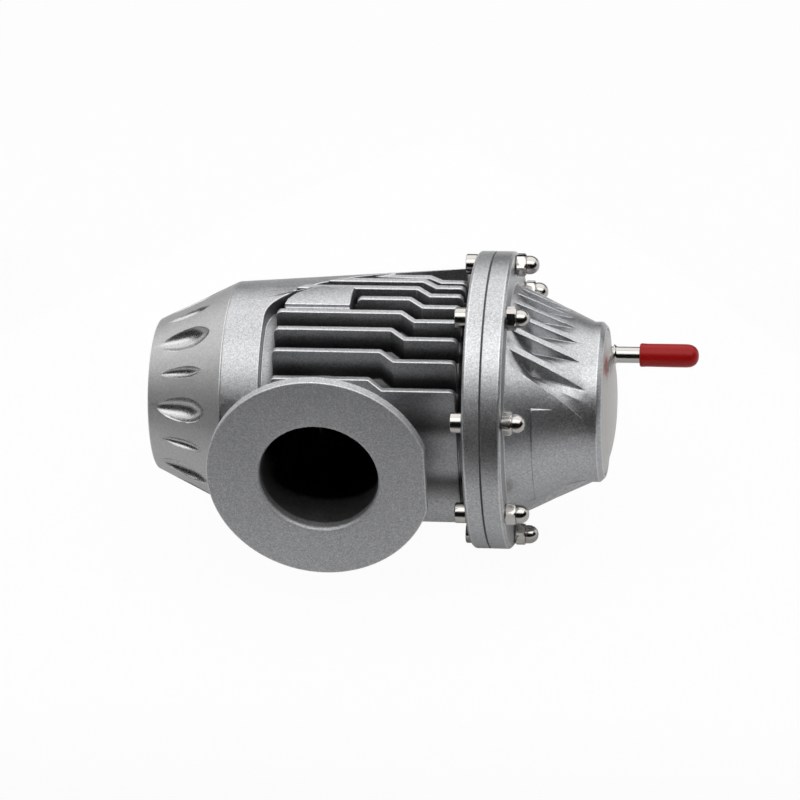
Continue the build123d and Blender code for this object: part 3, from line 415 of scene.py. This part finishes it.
def mix_paints():
    """Make every finish once; the edges' paints are a little lighter, partly from wear and partly
    as a painted highlight.
    """
    colours = settings().colours
    body, cone, cover = (tuple(colour) for colour in (colours.body, colours.cone, colours.cover))
    worn_highlit_body, worn_highlit_cone, worn_highlit_cover = (scaled(colour, EDGE_WEAR_AND_HIGHLIGHT) for colour in (body, cone, cover))
    PAINTS.update(
        body=flake_paint("Body paint", body, 0.26, 1.0, 0.45, 0.0003, tones_and_painted_shade=body_tone_and_painted_shade),
        cone=flake_paint("Cone paint", cone, 0.14, 0.9, 0.5, 0.0003, 0.4, cone_painted_shade),
        cover=flake_paint("Cover paint", cover, 0.26, 1.0, 0.39, 0.0003),
        body_edge=flake_paint("Body edges", worn_highlit_body, 0.2, 1.0, 0.4, 0.0002, tones_and_painted_shade=body_tone_and_painted_shade),
        cone_edge=flake_paint("Cone edges", worn_highlit_cone, 0.14, 0.95, 0.42, 0.0002, 0.4),
        cover_edge=flake_paint("Cover edges", worn_highlit_cover, 0.2, 1.0, 0.36, 0.0002),
        stainless=turned_metal("Stainless", (0.52, 0.5, 0.475), 0.16),
        aluminium=turned_metal("Machined aluminium", (0.72, 0.73, 0.74), 0.3),
        wire=turned_metal("Spring wire", (0.3, 0.3, 0.31), 0.34),
        black_steel=turned_metal("Blackened steel", (0.16, 0.16, 0.17), 0.38),
        brass=turned_metal("Brass", (0.72, 0.56, 0.28), 0.28),
        rubber=rubber("Seal rubber", (0.02, 0.02, 0.02), 0.6),
        sheet=rubber("Diaphragm sheet", (0.09, 0.09, 0.09), 0.6),
        plastic=black_plastic(),
        badge=badge_metal(),
        vinyl=red_vinyl(),
    )


# Frame nodes by their finish
FINISHES = {
    "body": ("valve_body",),
    "cone": ("outlet_cone",),
    "cover": ("diaphragm_cover",),
    "plastic": ("outlet_insert",),
    "black_steel": ("insert_clip",),
    "aluminium": ("valve_seat", "main_valve", "pilot_valve", "lower_plate", "upper_plate"),
    "rubber": ("main_valve_seal", "pilot_seal", "stem_seal"),
    "sheet": ("diaphragm",),
    "stainless": (
        "lift_collar",
        "valve_stem",
        "stem_washer",
        "stem_nut",
        "vacuum_nipple",
        "flange_screws",
        "dome_nuts",
    ),
    "brass": ("guide_bush",),
    "wire": ("main_spring", "pilot_spring"),
    "badge": ("end_badge",),
    "vinyl": ("dust_cap",),
}


def colour_setting(name, description, default):
    return FloatVectorProperty(
        name=name,
        description=description,
        default=default,
        size=3,
        min=0.0,
        max=1.0,
        subtype="COLOR",
    )


def length_setting(name, description, default):
    return FloatProperty(
        name=name,
        description=description,
        default=default,
        precision=4,
        unit="LENGTH",
    )


class ValveColours(bpy.types.PropertyGroup):
    """Colours that a user would change."""

    body: colour_setting("Body paint", "Silver paint of the body casting", (0.5, 0.505, 0.515))
    cone: colour_setting("Cone paint", "Duller paint of the outlet cone", (0.48, 0.48, 0.48))
    cover: colour_setting("Cover paint", "Silver paint of the cover", (0.435, 0.44, 0.45))
    badge: colour_setting("Badge", "Satin metal of the blank badge", (0.57, 0.56, 0.54))
    arc: colour_setting("Badge arc", "Plain arc near the badge's rim", (0.55, 0.05, 0.05))
    cap: colour_setting("Dust cap", "Red vinyl of the dust cap", (0.46, 0.006, 0.007))


class ValveSizes(bpy.types.PropertyGroup):
    """Sizes that a user would change."""

    body_rounding: length_setting("Body rounding", "Radius of the body's sharp edges", 0.0003)
    cone_rounding: length_setting("Cone rounding", "Radius of the cone's sharp edges", 0.0003)
    cover_rounding: length_setting("Cover rounding", "Radius of the cover's sharp edges", 0.0002)


class StudioSettings(bpy.types.PropertyGroup):
    """Camera, lamps and floor."""

    lens: FloatProperty(
        name="Lens",
        description="Focal length that frames the valve as in the photograph",
        default=166.35,
        min=10.0,
        unit="CAMERA",
    )
    floor_z: length_setting("Floor height", "Height of the floor under the main flange", -0.0402)
    brightness: FloatProperty(
        name="Softbox brightness",
        description="Brightness of the two softboxes overhead, where 1 shows as white",
        default=1.3,
        min=0.0,
    )
    ambient: FloatProperty(
        name="Ambient",
        description="Strength of the even light from all round",
        default=0.3,
        min=0.0,
    )


class ValveLook(bpy.types.PropertyGroup):
    """All the settings of the valve's look."""

    colours: PointerProperty(type=ValveColours)
    sizes: PointerProperty(type=ValveSizes)
    studio: PointerProperty(type=StudioSettings)


def beside_axis(x, radius, angle):
    """Point beside the main axis; the angle runs from the inlet side up."""
    turn = radians(angle)
    return Vector((x, AXIS_Y - radius * cos(turn), radius * sin(turn)))


def spun(profile, steps=SPIN_STEPS, closed=False):
    """A turned body about the X axis through the origin, from (x, radius) points in mm."""
    shape = bmesh.new()
    verts = [shape.verts.new((x * MM, r * MM, 0.0)) for x, r in profile]
    pairs = list(zip(verts, verts[1:]))
    if closed:
        pairs.append((verts[-1], verts[0]))
    edges = [shape.edges.new(pair) for pair in pairs]
    bmesh.ops.spin(
        shape,
        geom=verts + edges,
        cent=(0.0, 0.0, 0.0),
        axis=(1.0, 0.0, 0.0),
        angle=2 * pi,
        steps=steps,
        use_merge=True,
    )
    bmesh.ops.remove_doubles(shape, verts=shape.verts, dist=WELD)
    bmesh.ops.recalc_face_normals(shape, faces=shape.faces)
    return shape


def hexagon_place(vert):
    """A point's distance from the X axis, and its turn from the middle of a hexagon's side."""
    radius = hypot(vert.co.y, vert.co.z)
    turn = (atan2(vert.co.z, vert.co.y) + pi / 6) % (pi / 3) - pi / 6
    return radius, turn


def scale_from_axis(vert, share):
    vert.co.y *= share
    vert.co.z *= share


def press_hex(shape, flats, low, high):
    """Push the rings between two stations in to the sides of a hexagon; all in mm."""
    for vert in shape.verts:
        if low * MM < vert.co.x < high * MM:
            radius, turn = hexagon_place(vert)
            limit = flats * MM / 2 / cos(turn)
            if radius > limit:
                scale_from_axis(vert, limit / radius)


def merge_shapes(shapes):
    """Collect several shapes in one."""
    whole = bmesh.new()
    for shape in shapes:
        mesh = bpy.data.meshes.new("part")
        shape.to_mesh(mesh)
        shape.free()
        whole.from_mesh(mesh)
        bpy.data.meshes.remove(mesh)
    return whole


def node_copy(node):
    """Welded copy of a frame node with its flat faces joined up."""
    shape = bmesh.new()
    shape.from_mesh(frame["nodes"][node].data)
    bmesh.ops.remove_doubles(shape, verts=shape.verts, dist=WELD)
    bmesh.ops.dissolve_limit(shape, angle_limit=FLAT_ANGLE, verts=shape.verts, edges=shape.edges)
    return shape


def room_beside(edge, sharp):
    """Length of the shortest plain edge that ends on a sharp edge."""
    plain = [near for vert in edge.verts for near in vert.link_edges if near not in sharp]
    return min((near.calc_length() for near in plain), default=1.0)


def lies_at(edge, x):
    """True for an edge with both its ends on the flat face at x."""
    return all(abs(vert.co.x - x) <= FLAT_GAP for vert in edge.verts)


def soften(shape, radius, parting=None):
    """Round the sharp edges, except those on the parting face or without room beside them.

    The roundings take the piece's second paint."""
    manifold = [edge for edge in shape.edges if edge.is_manifold]
    sharp = {edge for edge in manifold if edge.calc_face_angle() > SHARP_ANGLE}
    edges = [edge for edge in manifold if edge in sharp and room_beside(edge, sharp) > radius]
    if parting is not None:
        edges = [edge for edge in edges if not lies_at(edge, parting)]
    rounded = bmesh.ops.bevel(
        shape,
        geom=edges,
        offset=radius,
        segments=ROUNDING_STEPS,
        profile=0.5,
        affect="EDGES",
        material=-1,
        clamp_overlap=False,
    )
    for face in rounded["faces"]:
        face.material_index = EDGE_PAINT
    bmesh.ops.dissolve_degenerate(shape, dist=WELD, edges=shape.edges)


def broad(face):
    """True for a face that is wider than a rounding's strips."""
    return 2 * face.calc_area() / face.calc_perimeter() > STRIP_WIDTH


def make_piece(name, shape, paints, slot, *nodes):
    """Turn a shape into a piece on the housing that stands for frame nodes.

    Broad faces keep their own shading beside a rounding, so that flat faces stay flat."""
    for face in shape.faces:
        face.smooth = True
    for edge in shape.edges:
        beside_strip = len({broad(face) for face in edge.link_faces}) == 2
        edge.smooth = edge.calc_face_angle(0.0) < (STRIP_ANGLE if beside_strip else SMOOTH_ANGLE)
    mesh = bpy.data.meshes.new(name)
    shape.to_mesh(mesh)
    shape.free()
    if "custom_normal" in mesh.attributes:
        mesh.attributes.remove(mesh.attributes["custom_normal"])
    for paint in paints:
        mesh.materials.append(PAINTS[paint].material)
    piece = bpy.data.objects.new(name, mesh)
    bpy.context.scene.collection.objects.link(piece)
    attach(piece, "housing")
    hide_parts(*nodes)
    return piece


class VALVE_OT_paint_frame(bpy.types.Operator):
    """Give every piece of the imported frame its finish."""

    bl_idname = "valve.paint_frame"
    bl_label = "Paint Frame Pieces"

    def execute(self, context):
        mix_paints()
        for paint, nodes in FINISHES.items():
            for node in nodes:
                materials = frame["nodes"][node].data.materials
                materials.clear()
                materials.append(PAINTS[paint].material)
        return {"FINISHED"}


class VALVE_OT_springs(bpy.types.Operator):
    """Make the two springs as copies of their frame nodes, each with its own mesh; how far they
    shorten as the main valve lifts is worked out but not applied.
    """

    bl_idname = "valve.springs"
    bl_label = "Make Springs"

    def execute(self, context):
        joints = frame["record"]["behaviour"]["joints"]
        lift = next(joint for joint in joints if joint["name"] == "main_valve_lift")
        fixed_ends = {soft["node"]: soft["fixed_end_x_m"] for soft in lift["deforming_nodes"]}
        for node in ("main_spring", "pilot_spring"):
            fixed = fixed_ends[node]
            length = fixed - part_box(node)[0][0]
            share = 1 - lift["range_m"][1] / length
            coil = make_piece("coiled_" + node, node_copy(node), ("wire",), "spring_steel", node)
            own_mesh(coil)
        return {"FINISHED"}


class VALVE_OT_fasteners(bpy.types.Operator):
    """Model the socket screws and the dome nuts of the main flange."""

    bl_idname = "valve.fasteners"
    bl_label = "Make Fasteners"

    def execute(self, context):
        screws = self.ring(self.screw, body_flange_x)
        nuts = self.ring(self.nut, cover_flange_x)
        make_piece("socket_screws", screws, ("stainless",), "stainless", "flange_screws")
        make_piece("domed_nuts", nuts, ("stainless",), "stainless", "dome_nuts")
        return {"FINISHED"}

    def ring(self, make, x):
        """One of them at each bolt hole, each turned as it came to rest when tight."""
        shapes = []
        for number, turn in enumerate(NUT_TURNS):
            angle = BOLT_FIRST_ANGLE + number * 360 / BOLT_COUNT
            place = Matrix.Translation(beside_axis(x, BOLT_CIRCLE_R, angle))
            matrix = place @ Matrix.Rotation(radians(turn), 4, "X")
            shape = make()
            bmesh.ops.transform(shape, matrix=matrix, verts=shape.verts)
            shapes.append(shape)
        return merge_shapes(shapes)

    def screw(self):
        """Cylinder head at -X with a hex socket, and a plain shank."""
        head = [(0.0, 2.66), (-0.12, 2.75), (-2.62, 2.75), (-2.84, 2.68), (-SCREW_HEAD, 2.45)]
        socket = [(-SCREW_HEAD, 1.5), (-2.9, 1.42), (-1.5, 1.42), (-1.3, 0.0)]
        shank = [(9.5, 0.0), (9.8, 1.2), (9.5, 1.5), (0.0, 1.5)]
        shape = spun(shank + head + socket, HEX_STEPS)
        for vert in shape.verts:
            radius, turn = hexagon_place(vert)
            if vert.co.x < -1.4 * MM and radius < 1.45 * MM:
                scale_from_axis(vert, 1.25 * MM / cos(turn) / max(radius, 1.42 * MM))
        return shape

    def nut(self):
        """Chamfered hexagon, a step, and a domed end."""
        washer = [(0.0, 2.55), (0.12, 2.62), (0.2, 2.7)]
        hexagon = [(0.42, 3.4), (2.45, 3.4), (2.72, 2.8), (2.86, 2.7)]
        neck = [(2.9, 2.55), (2.94, 2.36), (3.04, 2.36), (3.08, 2.46), (3.16, 2.5), (3.75, 2.5)]
        dome = [
            (3.75 + 2.55 * sin(radians(turn)), 2.5 * cos(radians(turn)) ** 0.9)
            for turn in (12, 24, 36, 47, 57, 66, 74, 81)
        ]
        shape = spun([(0.0, 0.0)] + washer + hexagon + neck + dome + [(6.3, 0.0)], HEX_STEPS)
        press_hex(shape, 5.5, 0.05, 2.88)
        return shape


class VALVE_OT_vacuum_port(bpy.types.Operator):
    """Model the bare steel nipple and the soft dipped cap on its end."""

    bl_idname = "valve.vacuum_port"
    bl_label = "Make Vacuum Port"

    def execute(self, context):
        centre = beside_axis(0.0, NIPPLE_CIRCLE_R, NIPPLE_ANGLE)
        nipple = self.nipple(nipple_box[0][0] / MM, nipple_box[1][0] / MM)
        bmesh.ops.translate(nipple, verts=nipple.verts, vec=centre)
        make_piece("steel_nipple", nipple, ("stainless",), "stainless", "vacuum_nipple")
        cap = self.cap(cap_box[0][0] / MM, cap_box[1][0] / MM)
        bmesh.ops.translate(cap, verts=cap.verts, vec=centre)
        make_piece("dipped_cap", cap, ("vinyl",), "red_vinyl", "dust_cap")
        return {"FINISHED"}

    def nipple(self, low, high):
        """Tube with a small collar where it leaves the badge."""
        foot = badge_box[1][0] / MM - NIPPLE_SINK
        inner_end = [(low, 1.3), (low, 2.2)]
        collar = [
            (foot, 2.2),
            (foot, 2.75),
            (foot + 0.35, 2.7),
            (foot + 0.75, 2.3),
            (foot + 1.1, 2.2),
        ]
        outer_end = [(high - 0.3, 2.2), (high, 1.9), (high, 1.3)]
        return spun(inner_end + collar + outer_end, closed=True)

    def cap(self, low, high):
        """Rolled mouth, a barrel that swells a little, and a bullet tip."""
        mouth = [
            (low + 0.3, 2.25),
            (low, 2.55),
            (low + 0.02, 2.9),
            (low + 0.25, 3.14),
            (low + 0.7, 3.2),
        ]
        barrel = [
            (low + 1.2, 3.17),
            (low + 1.8, 3.12),
            (low + 3.0, 3.11),
            (low + 5.0, 3.13),
            (low + 7.5, 3.15),
            (low + 10.0, 3.15),
            (high - 3.6, 3.14),
            (high - 3.0, 3.12),
        ]
        tip = [
            (high - 3.0 * (1 - sin(radians(turn))), 3.12 * cos(radians(turn)) ** 0.85)
            for turn in (15, 28, 40, 51, 61, 70, 78, 84)
        ]
        inside = [(high, 0.0), (high - 4.6, 0.0), (high - 4.6, 2.2), (low + 0.6, 2.25)]
        return spun(mouth + barrel + tip + inside, closed=True)


class VALVE_OT_badge(bpy.types.Operator):
    """Model the blank domed badge at the cover's end."""

    bl_idname = "valve.badge"
    bl_label = "Make Badge"

    def execute(self, context):
        low = badge_box[0][0] / MM
        top = badge_box[1][0] / MM
        reach = (badge_box[1][1] - badge_box[0][1]) / MM / 2
        edge = [
            (low, 0.0),
            (low, reach - 0.1),
            (low + 0.1, reach),
            (low + 0.4, reach),
            (low + 0.62, reach - 0.25),
        ]
        shape = spun(edge + self.crown(low + 0.7, top - 0.05, reach - 0.4), BADGE_STEPS)
        bmesh.ops.translate(shape, verts=shape.verts, vec=(0.0, AXIS_Y, 0.0))
        make_piece("blank_badge", shape, ("badge",), "badge_paint", "end_badge")
        return {"FINISHED"}

    def crown(self, foot, top, reach):
        """Shallow dome from the rim to the middle, with one fine groove near the rim."""
        points = []
        for step in range(1, CROWN_STEPS):
            share = step / CROWN_STEPS
            x = foot + (top - foot) * (1 - (1 - share) ** 2.6)
            if 0.08 < share < 0.11:
                x -= 0.12
            points.append((x, reach * (1 - share)))
        return points + [(top, 0.0)]


class VALVE_OT_castings(bpy.types.Operator):
    """Round the edges of the body, the outlet cone and the cover."""

    bl_idname = "valve.castings"
    bl_label = "Round Castings"

    def execute(self, context):
        sizes = settings().sizes
        body_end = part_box("valve_body")[1][0]
        cover_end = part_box("diaphragm_cover")[0][0]
        self.casting("body", "valve_body", "silver_paint", sizes.body_rounding, body_end)
        self.casting("cone", "outlet_cone", "cone_paint", sizes.cone_rounding)
        self.casting("cover", "diaphragm_cover", "cover_paint", sizes.cover_rounding, cover_end)
        return {"FINISHED"}

    def casting(self, paint, node, slot, radius, parting=None):
        """A casting with rounded edges, in its own paint and in its edges' paint."""
        shape = node_copy(node)
        soften(shape, radius, parting)
        make_piece(paint + "_casting", shape, (paint, paint + "_edge"), slot, node)


class VALVE_OT_studio(bpy.types.Operator):
    """Set up the floor, the lamps and the camera."""

    bl_idname = "valve.studio"
    bl_label = "Set Up Studio"

    def execute(self, context):
        studio = settings().studio
        scene = context.scene
        scene.view_settings.view_transform = "Standard"
        self.camera(scene, studio)
        self.world(scene, studio)
        self.floor(studio.floor_z)
        for name, place, width, depth, brightness in (
            ("Front softbox", (0.0, -0.25, 0.62), 1.7, 0.5, studio.brightness),
            ("Back softbox", (0.0, 0.48, 0.62), 1.7, 0.8, studio.brightness * 0.5),
        ):
            self.softbox(name, place, width, depth, brightness)
        level = studio.floor_z + CARD_LIFT
        for name, place, turn, half_width, half_depth in (
            ("Floor card", (0.0, -0.44, level), (0.0, 0.0, 0.0), 1.3, 0.7),
            ("Front card", (0.0, -1.14, level + 0.54), UPRIGHT, 1.3, 0.54),
            ("Back card", (0.0, 1.3, level + 0.28), UPRIGHT, 1.3, 0.28),
            ("Left card", (-1.3, -0.5, level + 0.5), SIDEWAYS, 0.5, 0.64),
            ("Right card", (1.3, -0.5, level + 0.5), SIDEWAYS, 0.5, 0.64),
        ):
            self.card(name, place, turn, half_width, half_depth, level)
        return {"FINISHED"}

    def camera(self, scene, studio):
        """Camera at the place and turn from which the photograph was taken."""
        data = bpy.data.cameras.new("Camera")
        data.lens = studio.lens
        data.sensor_width = 36.0
        data.clip_start = 0.01
        back = CAMERA_RIGHT.cross(CAMERA_UP)
        turn = Matrix((CAMERA_RIGHT, CAMERA_UP, back)).transposed().to_4x4()
        camera = bpy.data.objects.new("Camera", data)
        camera.matrix_world = Matrix.Translation(CAMERA_PLACE) @ turn
        scene.collection.objects.link(camera)
        scene.camera = camera

    def world(self, scene, studio):
        """Even dim light that shows as white where it is seen itself."""
        world = bpy.data.worlds.new("Studio air")
        scene.world = world
        world.use_nodes = True
        air = Nodes(world.node_tree)
        air.tree.nodes.clear()
        dim = air.node("ShaderNodeBackground", inputs={"Color": WHITE, "Strength": studio.ambient})
        white = air.node("ShaderNodeBackground", inputs={"Color": WHITE, "Strength": 1.0})
        mix = air.node("ShaderNodeMixShader", inputs={0: air.seen(), 1: dim, 2: white})
        air.node("ShaderNodeOutputWorld", inputs={"Surface": mix})

    def grid(self, name, half, matrix):
        """Flat square of the stage, put in place in its mesh."""
        mesh = bpy.data.meshes.new(name)
        shape = bmesh.new()
        bmesh.ops.create_grid(shape, x_segments=1, y_segments=1, size=half)
        bmesh.ops.transform(shape, matrix=matrix, verts=shape.verts)
        shape.to_mesh(mesh)
        shape.free()
        piece = bpy.data.objects.new(name, mesh)
        bpy.context.scene.collection.objects.link(piece)
        return piece

    def floor(self, level):
        """White paper, most of which glows where it is seen, so that only the shadow shows."""
        floor = self.grid("Floor", FLOOR_HALF, Matrix.Translation((0.0, 0.0, level)))
        paper = Paint("Floor paper", PAPER_GREY, 0.0, 0.9)
        glow = paper.node("ShaderNodeEmission", inputs={"Strength": 1.0})
        inputs = {0: paper.seen() * PAPER_GLOW, 1: paper.shader.outputs[0], 2: glow}
        mix = paper.node("ShaderNodeMixShader", inputs=inputs)
        paper.put(paper.tree.nodes["Material Output"].inputs["Surface"], mix)
        floor.data.materials.append(paper.material)

    def card(self, name, place, turn, half_width, half_depth, level):
        """Black card, grey on the floor by the part, that only reflections and soft light see."""
        matrix = Matrix.Translation(place) @ Euler(turn).to_matrix().to_4x4()
        card = self.grid(name, 1.0, matrix @ Matrix.Diagonal((half_width, half_depth, 1.0, 1.0)))
        constants = {"Specular IOR Level": 0.0, "Emission Strength": 1.0}
        paint = Paint(name, NEARLY_BLACK, 0.0, 1.0, constants)
        _, y, z = paint.axes()
        grey = y.band(*CARD_FADE) * z.below(level + 4 * CARD_LIFT)
        paint.set("Base Color", paint.tint(grey, NEARLY_BLACK, CARD_GREY))
        paint.set("Emission Color", paint.tint(grey, (0.0, 0.0, 0.0), CARD_GLOW))
        card.data.materials.append(paint.material)
        card.visible_camera = False
        card.visible_shadow = False

    def softbox(self, name, place, width, depth, brightness):
        """Flat lamp that faces down; its power follows from its area and brightness."""
        data = bpy.data.lights.new(name, "AREA")
        data.shape = "RECTANGLE"
        data.size = width
        data.size_y = depth
        data.energy = brightness * pi * width * depth
        lamp = bpy.data.objects.new(name, data)
        lamp.location = place
        bpy.context.scene.collection.objects.link(lamp)


class VALVE_PT_look(bpy.types.Panel):
    """Settings and steps of the valve's look."""

    bl_label = "Blow Off Valve"
    bl_idname = "VALVE_PT_look"
    bl_space_type = "VIEW_3D"
    bl_region_type = "UI"
    bl_category = "Valve"

    def draw(self, context):
        look = context.scene.valve_look
        for group in (look.colours, look.sizes, look.studio):
            box = self.layout.box()
            for name in group.bl_rna.properties.keys():
                if name not in ("rna_type", "name"):
                    box.prop(group, name)
        for operator in OPERATORS:
            self.layout.operator(operator.bl_idname)


GROUPS = (ValveColours, ValveSizes, StudioSettings, ValveLook)
OPERATORS = (
    VALVE_OT_paint_frame,
    VALVE_OT_springs,
    VALVE_OT_fasteners,
    VALVE_OT_vacuum_port,
    VALVE_OT_badge,
    VALVE_OT_castings,
    VALVE_OT_studio,
)


def register():
    for item in (*GROUPS, *OPERATORS, VALVE_PT_look):
        bpy.utils.register_class(item)
    bpy.types.Scene.valve_look = PointerProperty(type=ValveLook)


def unregister():
    del bpy.types.Scene.valve_look
    for item in reversed((*GROUPS, *OPERATORS, VALVE_PT_look)):
        bpy.utils.unregister_class(item)


def main():
    register()
    bpy.ops.valve.paint_frame()
    bpy.ops.valve.springs()
    bpy.ops.valve.fasteners()
    bpy.ops.valve.vacuum_port()
    bpy.ops.valve.badge()
    bpy.ops.valve.castings()
    bpy.ops.valve.studio()


if __name__ == "__main__":
    main()
